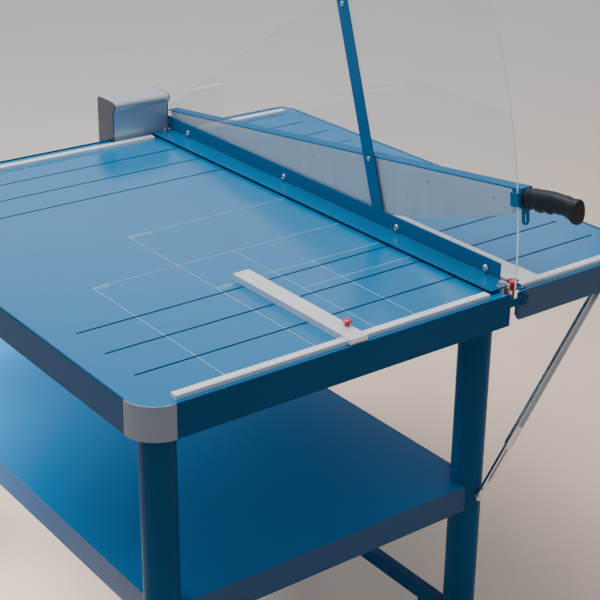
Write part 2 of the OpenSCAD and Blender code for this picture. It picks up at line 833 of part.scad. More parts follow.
// Button-head screw along x with its head outside the flange
module button_screw(r) {
  head = 0.55 * r + 1.8;
  rod_x_axis(flange_x0, -0.4, r);
  translate([flange_x0, 0, 0]) rotate([0, -90, 0]) difference() {
    rotate_extrude() intersection() {
      translate([0, -r * 1.3]) circle(r = 1.3 * r + head, $fn = 48);
      square([1.75 * r, head]);
    }
    translate([0, 0, head - 1.6]) cylinder(r = r * 0.72, h = 3, $fn = 6);
  }
}

module guard_bolts() {
  color([0.75, 0.76, 0.78]) placed() {
    for (y = bolt_ys) translate([0, y, bolt_z]) button_screw(rod_r);
    strap_frame() for (s = strap_screws) translate([0, 0, s]) button_screw(3);
  }
}

// Pull rods: a nut and washer above the clamp foot, and a nut below the crank
module clamp_rods() {
  foot = clamp_lift + clamp_t;
  color([0.75, 0.76, 0.78]) placed() for (y = rod_ys) translate([rod_x, y, 0]) {
    translate([0, 0, shaft_z - 15]) cylinder(r = rod_r, h = foot + 9 - shaft_z + 15);
    translate([0, 0, foot]) cylinder(r = 6.8, h = 1.2);
    translate([0, 0, foot + 1.2]) cylinder(r = 5.8, h = 5, $fn = 6);
    translate([0, 0, shaft_z - 11.5]) cylinder(r = 7, h = 6, $fn = 6);
  }
}

// Cross shaft under the table with a crank for each pull rod and one for the pedal's rod
module crank(y, reach, hole_r) {
  half_w = 7;
  translate([0, y, 0]) difference() {
    union() {
      rod_y_axis(-half_w, half_w, 12);
      block([8, reach], [-half_w, half_w], [-3, 3]);
      translate([reach, 0, -3]) cylinder(r = hole_r + 2.2, h = 6);
    }
    translate([reach, 0, -10]) cylinder(r = hole_r, h = 20);
  }
}

module clamp_shaft() {
  color([0.55, 0.56, 0.58]) placed() translate([shaft_x, 0, shaft_z]) {
    rod_y_axis(-4.5, 1107.5, shaft_r);
    for (y = rod_ys) crank(y, rod_x - shaft_x, rod_r + 1.2);
    crank(pedal_rod_y, pedal_rod_x - shaft_x, pedal_rod_r + 1.2);
  }
}

module shaft_bearings() {
  width = 14;
  drop = 13.5;
  color([0.3, 0.31, 0.33]) placed() for (y = [32, 560, 1070]) difference() {
    block([shaft_x - 13, shaft_x + 13], [y, y + width], [shaft_z - drop, -plate_t]);
    translate([shaft_x, 0, shaft_z]) rod_y_axis(y - 1, y + width + 1, shaft_r + 0.05);
  }
}

module pedal_rod() {
  bottom = pedal_z - 5.5;
  nut = 6;
  color([0.6, 0.6, 0.62]) placed() translate([pedal_rod_x, pedal_rod_y, 0]) {
    translate([0, 0, bottom - nut - 2]) cylinder(r = pedal_rod_r, h = shaft_z + 13 - bottom + nut + 2);
    translate([0, 0, shaft_z + 5]) cylinder(r = 8.5, h = nut, $fn = 6);
    translate([0, 0, bottom - nut]) cylinder(r = 8.5, h = nut, $fn = 6);
  }
}

// Rocking shaft with a short arm to the pull rod and a long arm, beside the leg, to the tread
module pedal_lever() {
  bar_t = 6;
  arm_w = 24;
  rod_arm_w = 22;
  color([0.05, 0.2, 0.32]) placed() translate([0, 0, pedal_z]) difference() {
    union() {
      translate([0, pedal_pivot_y, 0]) rod_x_axis(pedal_arm_x - arm_w / 2, pedal_rod_x + rod_arm_w / 2, 8);
      block([pedal_rod_x - rod_arm_w / 2, pedal_rod_x + rod_arm_w / 2],
        [pedal_rod_y - 10.5, pedal_pivot_y], [-bar_t / 2, bar_t / 2]);
      block([pedal_arm_x - arm_w / 2, pedal_arm_x + arm_w / 2], [pedal_front, pedal_pivot_y],
        [-bar_t / 2, bar_t / 2]);
      block([pedal_arm_x - 58, pedal_arm_x + 58], [pedal_front, pedal_front + 62], [-bar_t / 2, bar_t / 2]);
    }
    translate([pedal_rod_x, pedal_rod_y, -20]) cylinder(r = pedal_rod_r + 1.3, h = 40);
  }
}

module pedal_tread() {
  ribs = 6;
  color([0.08, 0.08, 0.09]) placed() translate([pedal_arm_x, pedal_front, pedal_z + 3]) {
    block([-56, 56], [2, 60], [0, 3]);
    for (i = [0 : ribs - 1]) block([-52, 52], [6 + i * 9, 11 + i * 9], [2.5, 5]);
  }
}

// Rail between the right-hand legs with two ears that carry the pedal's shaft
module pedal_bracket() {
  rail_x = [-62, -43];
  rail_z = [pedal_z + 40, pedal_z + 70];
  ear_t = 5;
  color([0, 0.28, 0.47]) placed() difference() {
    union() {
      block(rail_x, leg_y, rail_z);
      for (x = [rail_x[0], rail_x[1] - ear_t]) side_view(x, ear_t) {
        translate([pedal_pivot_y, pedal_z]) circle(r = 14);
        translate([pedal_pivot_y - 14, pedal_z]) square([28, rail_z[1] - pedal_z]);
      }
    }
    for (y = leg_y) translate([leg_x[1], y, rail_z[0] - 1]) cylinder(d = leg_d, h = 40);
    translate([0, pedal_pivot_y, pedal_z]) rod_x_axis(rail_x[0] - 1, rail_x[1] + 1, 8.05);
  }
}

// ---- Blade arm ----

// Outline of the knife in (y, z): straight back, curved cutting edge from the heel to the tip
module blade_outline() {
  tip = [-blade_len, blade_tip_z];
  heel = [-blade_heel, blade_heel_z];
  chord = heel - tip;
  half = norm(chord) / 2;
  up = [-chord[1], chord[0]] / norm(chord);
  centre = (tip + heel) / 2 + up * sqrt(blade_r * blade_r - half * half);
  intersection() {
    translate([-blade_len, -200]) square([blade_len - 14, 200 + blade_top]);
    translate(centre) circle(r = blade_r, $fn = 720);
    polygon([[-blade_len, blade_top], [-14, blade_top], [-14, -12], [-blade_heel, blade_heel_z - 1],
      [-blade_heel, -200], [-blade_len, -200]]);
  }
}

rivet_us = [for (i = [0 : 5]) 1076 - 171 * i];
rivet_z = 6;

module blade() {
  color([0.66, 0.67, 0.7]) on_arm() difference() {
    side_view(blade_x0, blade_t) blade_outline();
    for (u = rivet_us) translate([0, -u, rivet_z]) rod_x_axis(-1, 10, 3);
  }
}

// Back of the arm: an angle along the knife, a round hub on the pivot pin and a lug over the buffer
module blade_carrier() {
  web_x = blade_x0 + blade_t;
  hub_r = 15.4;
  color([0, 0.36, 0.6]) on_arm() difference() {
    union() {
      block([web_x, web_x + carrier_t], [-blade_len, -6], [-2, blade_top + 1]);
      block([blade_x0, blade_x0 + carrier_w], [-blade_len, -6], [blade_top, blade_top + 3.2]);
      block([web_x + 1, web_x + 13.5], [-blade_len, -blade_len + 12], [-3.9, 1]);
      rod_x_axis(web_x, web_x + 18, hub_r);
    }
    rod_x_axis(-1, 60, pin_r);
    for (u = rivet_us) translate([0, -u, rivet_z]) rod_x_axis(-1, 12, 3);
  }
}

module blade_rivets() {
  end = blade_x0 + blade_t + carrier_t;
  color([0.72, 0.72, 0.74]) on_arm() for (u = rivet_us) translate([0, -u, rivet_z]) {
    rod_x_axis(blade_x0, end, 3);
    rod_x_axis(end, end + 2.2, 5);
  }
}

module pivot_pin() {
  color([0.6, 0.6, 0.63]) on_arm() {
    rod_x_axis(-86, blade_x0 + blade_t + 18, pin_r);
    rod_x_axis(blade_x0 + blade_t + 18, blade_x0 + blade_t + 25, 10);
  }
}

// End plate of the arm: a hook that runs round the guard's front edge, a block that takes the grip
// and a slotted tongue for locking the arm down
module front_hook() {
  hook_x = [guard_x0 - 3.6, guard_x0 - 0.6];
  hook_z = [1, 25];
  end_x = blade_x0 + carrier_w;
  tongue_x = [3.5, 19.5];
  tongue_mid = (tongue_x[0] + tongue_x[1]) / 2;
  tongue_r = (tongue_x[1] - tongue_x[0]) / 2;
  tongue_z = -34;
  slot_z = [-27.5, -16];
  web_t = web_us[1] - web_us[0];
  color([0, 0.36, 0.6]) on_arm() difference() {
    union() {
      block(hook_x, [-web_us[1], -blade_len - 2], hook_z);
      block([hook_x[0], end_x], [-web_us[1], -web_us[0]], hook_z);
      block([blade_x0, end_x], [-web_us[1], -blade_len], [-2, blade_top + 3.2]);
      block(tongue_x, [-web_us[1], -web_us[0]], [tongue_z + tongue_r, 0]);
      translate([tongue_mid, 0, tongue_z + tongue_r]) rod_y_axis(-web_us[1], -web_us[0], tongue_r);
    }
    for (z = slot_z) translate([tongue_mid, 0, z]) rod_y_axis(-web_us[1] - 1, -web_us[0] + 1, 2.5);
    block([tongue_mid - 2.5, tongue_mid + 2.5], [-web_us[1] - 1, -web_us[0] + 1], slot_z);
    translate([grip_x, 0, grip_z]) rod_y_axis(-web_us[1] - 1, -web_us[1] + 14, 6);
  }
}

// Handle: an oval bar with a flared end and finger grooves below, on a stud into the end plate
module grip() {
  length = 122;
  body_w = 27;
  flange_w = 30;
  color([0.1, 0.1, 0.11]) on_arm() translate([grip_x, -web_us[1] - length, grip_z]) difference() {
    union() {
      oval_bar(0, 8, flange_w, 43, -4);
      oval_bar(7, 16, flange_w - 1, 40, -2);
      oval_bar(15, length, body_w, 36, 2.5);
      rod_y_axis(length - eps, length + 14, 6);
    }
    for (i = [0 : 3]) translate([0, 26 + i * 22, -28.5]) rod_x_axis(-30, 30, 14);
  }
}

// Bar along y with a section of two half rounds, width w and height h, raised by up
module oval_bar(y0, y1, w, h, up) {
  half = (h - w) / 2;
  for (s = [-1, 1]) translate([0, 0, up + s * half]) rod_y_axis(y0, y1, w / 2);
  block([-w / 2, w / 2], [y0, y1], [up - half, up + half]);
}

// ---- Back gauge ----

module back_gauge() {
  top = 12.5;
  length = 332;
  color([0.82, 0.82, 0.83]) placed() translate([gauge_x, 0, 0]) difference() {
    union() {
      block([-gauge_w / 2, gauge_w / 2], [0.3, length - 24], [0.3, top - 2]);
      block([-gauge_w / 2, gauge_w / 2], [-24, length - 24], [rail_h + 0.6, top]);
      block([-gauge_w / 2, gauge_w / 2], [-24, -rail_w - 0.3], [2.2, top]);
    }
    block([-gauge_w / 2 + 2.5, gauge_w / 2 - 2.5], [30, length - 27], [-1, top - 2.5]);
    translate([13, 24, 0]) cylinder(r = 3.05, h = 30);
  }
}

module gauge_knob() {
  color([0.78, 0.08, 0.1]) placed() translate([gauge_x + 13, 24, 0]) rotate_extrude()
    polygon([[0, 4], [3, 4], [3, 12.8], [4.2, 12.8], [4.2, 16], [8, 18.5], [8.5, 20], [8, 21.5],
      [5, 22.8], [0, 23.2]]);
}

leg_front_left();
leg_front_right();
leg_rear_left();
leg_rear_right();
levelling_feet();
leg_sockets();
shelf_tray();
front_apron();
rear_apron();
left_apron();
corner_pieces();
table_plate();
knife_beam();
bed_knife();
front_rail();
rear_rail();
housing_shell();
housing_left_cap();
housing_right_cap();
pivot_block();
pivot_bush();
lift_spring();
hinge_brackets();
hinge_pins();
buffer_bracket();
buffer_pin();
buffer_cap();
shaft_bearings();
pedal_bracket();
stay_anchors();
side_tray();
side_strip();
side_front_rail();
side_rear_rail();
stay_brackets();
front_stay_rail();
front_stay_slotted_end();
front_stay_screws();
rear_stay_rail();
rear_stay_slotted_end();
rear_stay_screws();
clamp_bar();
guard_strap();
blade_guard();
guard_bolts();
clamp_rods();
clamp_shaft();
pedal_rod();
pedal_lever();
pedal_tread();
blade();
blade_carrier();
blade_rivets();
pivot_pin();
front_hook();
grip();
back_gauge();
gauge_knob();
clamp_springs();
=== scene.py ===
import json
import math

import bmesh
import bpy
from mathutils import Matrix, Vector


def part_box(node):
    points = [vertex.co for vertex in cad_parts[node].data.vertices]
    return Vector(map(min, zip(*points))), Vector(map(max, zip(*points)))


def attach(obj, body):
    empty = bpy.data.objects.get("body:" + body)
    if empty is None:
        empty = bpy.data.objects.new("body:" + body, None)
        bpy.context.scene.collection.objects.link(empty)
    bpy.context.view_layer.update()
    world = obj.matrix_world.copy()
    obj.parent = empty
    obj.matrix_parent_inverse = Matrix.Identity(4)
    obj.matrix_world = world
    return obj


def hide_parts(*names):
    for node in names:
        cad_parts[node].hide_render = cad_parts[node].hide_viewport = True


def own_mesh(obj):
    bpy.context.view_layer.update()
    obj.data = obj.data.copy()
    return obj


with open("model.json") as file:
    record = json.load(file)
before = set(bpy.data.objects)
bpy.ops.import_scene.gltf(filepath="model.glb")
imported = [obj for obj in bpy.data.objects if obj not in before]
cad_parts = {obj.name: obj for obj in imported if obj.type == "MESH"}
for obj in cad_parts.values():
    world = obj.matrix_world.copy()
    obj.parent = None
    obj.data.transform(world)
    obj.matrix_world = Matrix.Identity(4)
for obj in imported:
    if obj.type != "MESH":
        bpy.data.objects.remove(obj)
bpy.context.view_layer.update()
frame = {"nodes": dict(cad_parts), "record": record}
NODES = frame["nodes"]
MM = 0.001

# The cut is the working origin: its right edge, its front end and the table's top
knife_low, knife_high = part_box("bed_knife")
CUT = Vector((knife_high.x, knife_low.y, knife_high.z))
PIVOT = (0, 1122, 18)  # the blade's axis, in mm from the cut's origin
ARM_ANGLE = math.radians(6.76)  # the arm's slope at rest


def at(x, y, z):
    """A point given in mm from the cut's origin, in the row frame in metres."""
    return CUT + Vector((x, y, z)) * MM


def on_arm(x, u, w):
    """A point of the raised arm: u along it from the pivot, w above it, in mm."""
    y = -u * math.cos(ARM_ANGLE) + w * math.sin(ARM_ANGLE)
    z = u * math.sin(ARM_ANGLE) + w * math.cos(ARM_ANGLE)
    return at(x, PIVOT[1] + y, PIVOT[2] + z)


# ---- Camera ----

# Solved from the photo: the table's printed lines, corners and grooves
CAMERA_PLACE = (-1689.93, -1623.996, 1001.147)
CAMERA_TURN = (0.647674, 0.406468, 0.0111661)
CAMERA_LENS = 86.585
CAMERA_SHIFT_Y = -0.0293


def make_camera():
    yaw, pitch, roll = CAMERA_TURN
    d = Vector((math.sin(yaw) * math.cos(pitch), math.cos(yaw) * math.cos(pitch), -math.sin(pitch)))
    r = Vector((math.cos(yaw), -math.sin(yaw), 0))
    u = r.cross(d)
    right = math.cos(roll) * r + math.sin(roll) * u
    up = math.cos(roll) * u - math.sin(roll) * r
    data = bpy.data.cameras.new("camera")
    data.sensor_width = 36
    data.lens = CAMERA_LENS
    data.shift_y = CAMERA_SHIFT_Y
    data.clip_end = 100
    cam = bpy.data.objects.new("camera", data)
    placed = Matrix((right, up, -d)).transposed().to_4x4()
    placed.translation = at(*CAMERA_PLACE)
    cam.matrix_world = placed
    bpy.context.scene.collection.objects.link(cam)
    bpy.context.scene.camera = cam


make_camera()


# ---- Node helpers ----

class Tree:
    """A material's node tree, with short calls for the nodes used here."""

    def __init__(self, name):
        self.mat = bpy.data.materials.new(name)
        self.mat.use_nodes = True
        self.nt = self.mat.node_tree
        self.nt.nodes.clear()
        self.out = self.add("ShaderNodeOutputMaterial")
        coord = self.add("ShaderNodeTexCoord")
        self.coord = coord.outputs["Object"]
        self.facing = coord.outputs["Normal"]

    def add(self, kind, **settings):
        n = self.nt.nodes.new(kind)
        for key, value in settings.items():
            setattr(n, key, value)
        return n

    def link(self, a, b):
        self.nt.links.new(a, b)

    def put(self, socket, value):
        if isinstance(value, bpy.types.NodeSocket):
            self.link(value, socket)
        else:
            socket.default_value = value

    def principled(self, **values):
        n = self.add("ShaderNodeBsdfPrincipled")
        for key, value in values.items():
            self.put(n.inputs[key.replace("_", " ")], value)
        return n

    def mapped(self, scale):
        n = self.add("ShaderNodeMapping")
        n.inputs["Scale"].default_value = scale
        self.link(self.coord, n.inputs["Vector"])
        return n.outputs["Vector"]

    def noise(self, scale, detail=3.0, roughness=0.5, vector=None):
        n = self.add("ShaderNodeTexNoise")
        n.inputs["Scale"].default_value = scale
        n.inputs["Detail"].default_value = detail
        n.inputs["Roughness"].default_value = roughness
        self.link(vector or self.coord, n.inputs["Vector"])
        return n.outputs["Fac"]

    def ramp(self, fac, stops):
        n = self.add("ShaderNodeValToRGB")
        e = n.color_ramp.elements
        while len(e) < len(stops):
            e.new(0.5)
        for i, (pos, value) in enumerate(stops):
            e[i].position = pos
            grey = isinstance(value, (int, float))
            e[i].color = (value, value, value, 1) if grey else (*value, 1)
        self.link(fac, n.inputs["Fac"])
        return n.outputs["Color"]

    def remap(self, fac, low, high, from_low=0.3, from_high=0.7):
        n = self.add("ShaderNodeMapRange")
        n.inputs["From Min"].default_value = from_low
        n.inputs["From Max"].default_value = from_high
        n.inputs["To Min"].default_value = low
        n.inputs["To Max"].default_value = high
        self.link(fac, n.inputs["Value"])
        return n.outputs["Result"]

    def math(self, op, a, b=0.0, clamp=False):
        n = self.add("ShaderNodeMath", operation=op, use_clamp=clamp)
        self.put(n.inputs[0], a)
        self.put(n.inputs[1], b)
        return n.outputs[0]

    def mix(self, fac, a, b, blend="MIX"):
        """Mixes two colours; a Mix node keeps its colours in sockets 6 and 7 and its result in 2."""
        n = self.add("ShaderNodeMix", data_type="RGBA", blend_type=blend)
        self.put(n.inputs["Factor"], fac)
        for socket, value in ((n.inputs[6], a), (n.inputs[7], b)):
            self.put(socket, value if isinstance(value, bpy.types.NodeSocket) else (*value, 1))
        return n.outputs[2]

    def bump(self, height, strength, distance, normal):
        n = self.add("ShaderNodeBump")
        n.inputs["Strength"].default_value = strength
        n.inputs["Distance"].default_value = distance
        self.link(height, n.inputs["Height"])
        self.link(normal, n.inputs["Normal"])
        return n.outputs["Normal"]

    def rounded(self, radius):
        """Rounded edges: the bevelled normal, and a mask that is 1 on the edges."""
        bevel = self.add("ShaderNodeBevel", samples=4)
        bevel.inputs["Radius"].default_value = radius
        geometry = self.add("ShaderNodeNewGeometry")
        dot = self.add("ShaderNodeVectorMath", operation="DOT_PRODUCT")
        self.link(bevel.outputs["Normal"], dot.inputs[0])
        self.link(geometry.outputs["True Normal"], dot.inputs[1])
        edge = self.remap(dot.outputs["Value"], 1.0, 0.0, 0.75, 0.99)
        return bevel.outputs["Normal"], edge

    def finish(self, shader):
        self.link(shader.outputs[0], self.out.inputs["Surface"])
        return self.mat


def shade(colour, k):
    return tuple(min(1.0, c * k) for c in colour)


def lacquer(name, colour, roughness, edge, radius=0.8, specular=0.5, drift=0.05, upright_shade_colour=None):
    """Powder coat: faint orange peel, slow colour drift, dust-fine mottling and edges lightened as rubbed wear
    and painted highlight.

    edge is how far the edges are lightened, as rubbed wear and painted highlight; radius is their rounding in
    mm, drift the share that the colour wanders by, and the last argument a darker colour painted on upright
    faces as shade.
    """
    t = Tree(name)
    normal, edges = t.rounded(radius * MM)
    slow = t.ramp(t.noise(2.2, 3), [(0.35, shade(colour, 1 - drift)), (0.65, shade(colour, 1 + drift))])
    if upright_shade_colour:
        # painted shade: upright faces get a darker colour of their own, as they catch less light
        parts = t.add("ShaderNodeSeparateXYZ")
        t.link(t.facing, parts.inputs[0])
        flat = t.remap(t.math("ABSOLUTE", parts.outputs["Z"]), 0.0, 1.0, 0.3, 0.8)
        slow = t.mix(flat, upright_shade_colour, slow)
    fine = t.remap(t.noise(420, 2), 0.96, 1.04)
    base = t.mix(1.0, slow, t.ramp(fine, [(0, 0.95), (1, 1.0)]), "MULTIPLY")
    # rubbed wear and painted highlight: the edges lightened in patches
    wear_and_highlight_colour = tuple(c + (0.55 - c) * 0.45 for c in colour)
    edge_wear_and_highlight = t.math("MULTIPLY", edges, t.remap(t.noise(60, 4), 0.35, 1.0), True)
    base = t.mix(t.math("MULTIPLY", edge_wear_and_highlight, edge), base, wear_and_highlight_colour)
    rough = t.remap(t.noise(9, 4), roughness - 0.2 * drift, roughness + 0.3 * drift)
    bumped = t.bump(t.noise(650, 2), 0.042, 0.0004, normal)
    shader = t.principled(Base_Color=base, Roughness=rough, Normal=bumped)
    shader.inputs["Specular IOR Level"].default_value = specular
    return t.finish(shader)


def metal(name, colour, roughness, along=None, streak=0.12, radius=0.4, metallic=1.0,
          mottle=0.06, fine=900):
    """Metal with a fine grain; along gives the axis that the grain or grinding runs in.

    streak is the grain's strength, mottle the clouding's, and fine the scale of a grain that
    runs along an axis.
    """
    t = Tree(name)
    normal, edges = t.rounded(radius * MM)
    scale = {None: (1, 1, 1), "x": (0.02, 1, 1), "y": (1, 0.02, 1), "z": (1, 1, 0.02)}[along]
    grain = t.noise(fine if along else 500, 3, 0.6, t.mapped(scale))
    cloud = t.noise(14, 4)
    base = t.ramp(grain, [(0.3, shade(colour, 1 - streak)), (0.7, shade(colour, 1 + streak * 0.5))])
    clouded = t.ramp(cloud, [(0.3, shade(colour, 0.86)), (0.7, shade(colour, 1.05))])
    base = t.mix(mottle * 4, base, clouded)
    # painted highlight: the edges lighter
    base = t.mix(t.math("MULTIPLY", edges, 0.35), base, shade(colour, 1.25))
    rough = t.math("ADD", t.remap(grain, -streak * 0.6, streak * 0.6),
                   t.remap(cloud, roughness - 0.03, roughness + 0.05))
    bumped = t.bump(grain, streak * 0.7, 0.0002, normal)
    shader = t.principled(Base_Color=base, Roughness=rough, Normal=bumped)
    shader.inputs["Metallic"].default_value = metallic
    return t.finish(shader)


def plastic(name, colour, roughness, grain=0.3, scale=900, specular=0.5):
    """Moulded plastic with a fine eroded grain, and edges lightened as a painted highlight."""
    t = Tree(name)
    normal, edges = t.rounded(0.5 * MM)
    speck = t.noise(scale, 3, 0.6)
    base = t.ramp(speck, [(0.3, shade(colour, 0.85)), (0.7, shade(colour, 1.15))])
    # painted highlight: the edges much lighter
    base = t.mix(t.math("MULTIPLY", edges, 0.3), base, shade(colour, 1.8))
    rough = t.remap(t.noise(25, 4), roughness - 0.05, roughness + 0.06)
    bumped = t.bump(speck, grain, 0.0003, normal)
    shader = t.principled(Base_Color=base, Roughness=rough, Normal=bumped)
    shader.inputs["Specular IOR Level"].default_value = specular
    return t.finish(shader)


def clear_sheet(name):
    """Clear polycarbonate: glass to sight, open to light, with faint wipe marks in its gloss."""
    t = Tree(name)
    wipes = t.noise(7, 5, 0.65, t.mapped((1, 1, 0.4)))
    glass = t.principled(Roughness=t.remap(wipes, 0.015, 0.045))
    glass.inputs["Base Color"].default_value = (0.95, 0.97, 0.975, 1)
    glass.inputs["Transmission Weight"].default_value = 1.0
    glass.inputs["IOR"].default_value = 1.45
    clear = t.add("ShaderNodeBsdfTransparent")
    clear.inputs["Color"].default_value = (0.93, 0.95, 0.96, 1)
    path = t.add("ShaderNodeLightPath")
    mixer = t.add("ShaderNodeMixShader")
    t.link(path.outputs["Is Shadow Ray"], mixer.inputs[0])
    t.link(glass.outputs[0], mixer.inputs[1])
    t.link(clear.outputs[0], mixer.inputs[2])
    return t.finish(mixer)


def red_clear(name, colour):
    """Red plastic that glows a little where light enters it."""
    t = Tree(name)
    normal, edges = t.rounded(0.4 * MM)
    cloud = t.noise(120, 3)
    base = t.ramp(cloud, [(0.3, shade(colour, 0.9)), (0.7, shade(colour, 1.1))])
    # painted highlight: the edges a lighter red
    base = t.mix(t.math("MULTIPLY", edges, 0.4), base, (0.9, 0.25, 0.25))
    shader = t.principled(Base_Color=base, Normal=normal, Roughness=t.remap(cloud, 0.22, 0.3))
    shader.inputs["Subsurface Weight"].default_value = 0.25
    shader.inputs["Subsurface Radius"].default_value = (0.004, 0.001, 0.001)
    shader.inputs["Coat Weight"].default_value = 0.4
    return t.finish(shader)


# painted shade: the darker colour that upright faces of the trays and shelf get
UPRIGHT_SHADE_BLUE = (0.0, 0.056, 0.165)

MATERIALS = {
    # frame_blue is the table's paint made darker, as painted shade on the mostly upright frame
    "frame_blue": lacquer("frame_blue", (0.0, 0.06, 0.165), 0.34, edge=0.3, specular=0.06),
    "table_blue": lacquer("table_blue", (0.0, 0.16, 0.37), 0.24, edge=0.2, radius=0.6,
                          specular=0.38, drift=0.02, upright_shade_colour=UPRIGHT_SHADE_BLUE),
    "shelf_blue": lacquer("shelf_blue", (0.0, 0.145, 0.36), 0.4, edge=0.3, specular=0.3,
                          upright_shade_colour=UPRIGHT_SHADE_BLUE),
    "clamp_blue": lacquer("clamp_blue", (0.0, 0.115, 0.27), 0.32, edge=0.3, radius=1.0,
                          specular=0.2),
    "corner_grey": metal("corner_grey", (0.18, 0.23, 0.31), 0.4, streak=0.05, metallic=0.5,
                         radius=1.6),
    "housing_silver": metal("housing_silver", (0.62, 0.65, 0.70), 0.32, streak=0.04,
                            metallic=0.7, radius=0.8),
    "housing_dark": metal("housing_dark", (0.11, 0.12, 0.145), 0.4, streak=0.04, metallic=0.6,
                          radius=1.0),
    "aluminium": metal("aluminium", (0.93, 0.93, 0.93), 0.34, "x", streak=0.05, metallic=0.35),
    "aluminium_long": metal("aluminium_long", (0.86, 0.88, 0.90), 0.34, "y", metallic=0.5),
    "knife_steel": metal("knife_steel", (0.76, 0.72, 0.71), 0.34, "z", streak=0.09,
                         mottle=0.02, metallic=0.7, fine=320),
    "zinc": metal("zinc", (0.66, 0.67, 0.69), 0.28, streak=0.1, mottle=0.1),
    "dark_steel": metal("dark_steel", (0.16, 0.165, 0.18), 0.45, streak=0.1, metallic=0.6),
    "bronze": metal("bronze", (0.6, 0.42, 0.2), 0.35, streak=0.1),
    "red_plastic": red_clear("red_plastic", (0.60, 0.018, 0.03)),
    "clear_plastic": clear_sheet("clear_plastic"),
    "black_plastic": plastic("black_plastic", (0.010, 0.013, 0.017), 0.48, specular=0.35),
    "black_rubber": plastic("black_rubber", (0.02, 0.02, 0.02), 0.7, grain=0.5, scale=500),
}
PRINT_WHITE = plastic("print_white", (0.66, 0.82, 0.92), 0.5, grain=0.05)
# Aluminium bars whose grain runs along y
ALONG_Y = ("side_strip", "back_gauge")

for entry in frame["record"]["subparts"]:
    node = NODES[entry["node"]]
    material = "aluminium_long" if entry["node"] in ALONG_Y else entry["material_slot"]
    node.data.materials.clear()
    node.data.materials.append(MATERIALS[material])


# ---- Mesh helpers ----

def new_piece(name, bm, material, body, smooth=False, replaces=()):
    """Makes an object of a bmesh, on a body and in a slot, in place of the nodes it replaces."""
    mesh = bpy.data.meshes.new(name)
    bmesh.ops.recalc_face_normals(bm, faces=bm.faces)
    bm.to_mesh(mesh)
    bm.free()
    for polygon in mesh.polygons:
        polygon.use_smooth = smooth
    mesh.materials.append(material)
    piece = bpy.data.objects.new(name, mesh)
    bpy.context.scene.collection.objects.link(piece)
    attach(piece, body)
    if replaces:
        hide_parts(*replaces)
    return piece


def add_box(bm, low, high):
    """A box between two corners in mm from the cut's origin."""
    v = [bm.verts.new(at(x, y, z))
         for x in (low[0], high[0]) for y in (low[1], high[1]) for z in (low[2], high[2])]
    for face in ((0, 1, 3, 2), (4, 6, 7, 5), (0, 4, 5, 1), (2, 3, 7, 6), (0, 2, 6, 4), (1, 5, 7, 3)):
        bm.faces.new([v[i] for i in face])


def add_loft(bm, rings):
    """Skins a list of rings, each a list of points in the row frame, and closes both ends."""
    rows = [[bm.verts.new(p) for p in ring] for ring in rings]
    n = len(rows[0])
    for a, b in zip(rows, rows[1:]):
        for i in range(n):
            bm.faces.new((a[i], a[(i + 1) % n], b[(i + 1) % n], b[i]))
    bm.faces.new(rows[0][::-1])
    bm.faces.new(rows[-1])


def add_tube(bm, path, radius, sides=10):
    """A round tube along a list of points in the row frame."""
    rings = []
    for i, p in enumerate(path):
        ahead = path[min(i + 1, len(path) - 1)] - path[max(i - 1, 0)]
        tangent = ahead.normalized()
        side = tangent.cross(Vector((0.02, 0.05, 1))).normalized()
        other = side.cross(tangent)
        rings.append([p + radius * (math.cos(a) * side + math.sin(a) * other)
                      for a in (2 * math.pi * k / sides for k in range(sides))])
    add_loft(bm, rings)


# ---- Printed marks, and painted shade in the grooves, on the table ----

# In mm from the cut's origin, whose z is the table's top
GROOVES = (91, 182, 273, 820, 908, 996)  # each groove's y
GROOVE_HALF = 1.28  # half the width of the painted shade in a groove
GROOVE_SHADE_Z = (-1.21, -0.5)
LIP_SHADE_OUTER = 2.1  # the far side of the painted shadow beside a groove's lip, from the groove's middle
LIP_SHADE_STEP = 0.1  # from the painted shade in the groove to the lip's painted shadow
LIP_SHADE_Z = (0.01, 0.04)
MARK_GAP = 2.3  # where the marks stop, from a groove's middle
MARK_Z = (0.01, 0.06)
MARK_W = 0.32  # half a format line's width
LABEL_TALL = 7
LABEL_LINE = 0.7
TICKS = 127
TICK_STEP = 5
TICK_HALF = 0.35
TICKS_X0 = -697
TICKS_Y = 1076.5  # the ticks' rear ends


def clear_of_grooves(y0, y1):
    """Splits a run along y where it would cross a groove."""
    start = y0
    for g in GROOVES:
        if start < g < y1:
            yield start, g - MARK_GAP
            start = g + MARK_GAP
    yield start, y1


def format_marks():
    bm = bmesh.new()
    along_y = ((-420, 2, 594), (-594, 2, 420), (-297, 2, 420), (-210, 2, 297))
    along_x = ((594, -420, -23), (420, -594, -23), (297, -420, -23), (210, -297, -23))
    for x, y0, y1 in along_y:
        for a, b in clear_of_grooves(y0, y1):
            add_box(bm, (x - MARK_W, a, MARK_Z[0]), (x + MARK_W, b, MARK_Z[1]))
    for y, x0, x1 in along_x:
        add_box(bm, (x0, y - MARK_W, MARK_Z[0]), (x1, y + MARK_W, MARK_Z[1]))
    # small empty label frames at three of the formats' corners
    for x, y, w in ((-592, 411, 26), (-418, 585, 46), (-418, 288, 26)):
        right, top = x + w, y + LABEL_TALL
        for a, b in (((x, y), (right, y + LABEL_LINE)), ((x, top - LABEL_LINE), (right, top)),
                     ((x, y), (x + LABEL_LINE, top)), ((right - LABEL_LINE, y), (right, top))):
            add_box(bm, (*a, MARK_Z[0]), (*b, MARK_Z[1] + 0.01))
    new_piece("format_marks", bm, PRINT_WHITE, "frame")


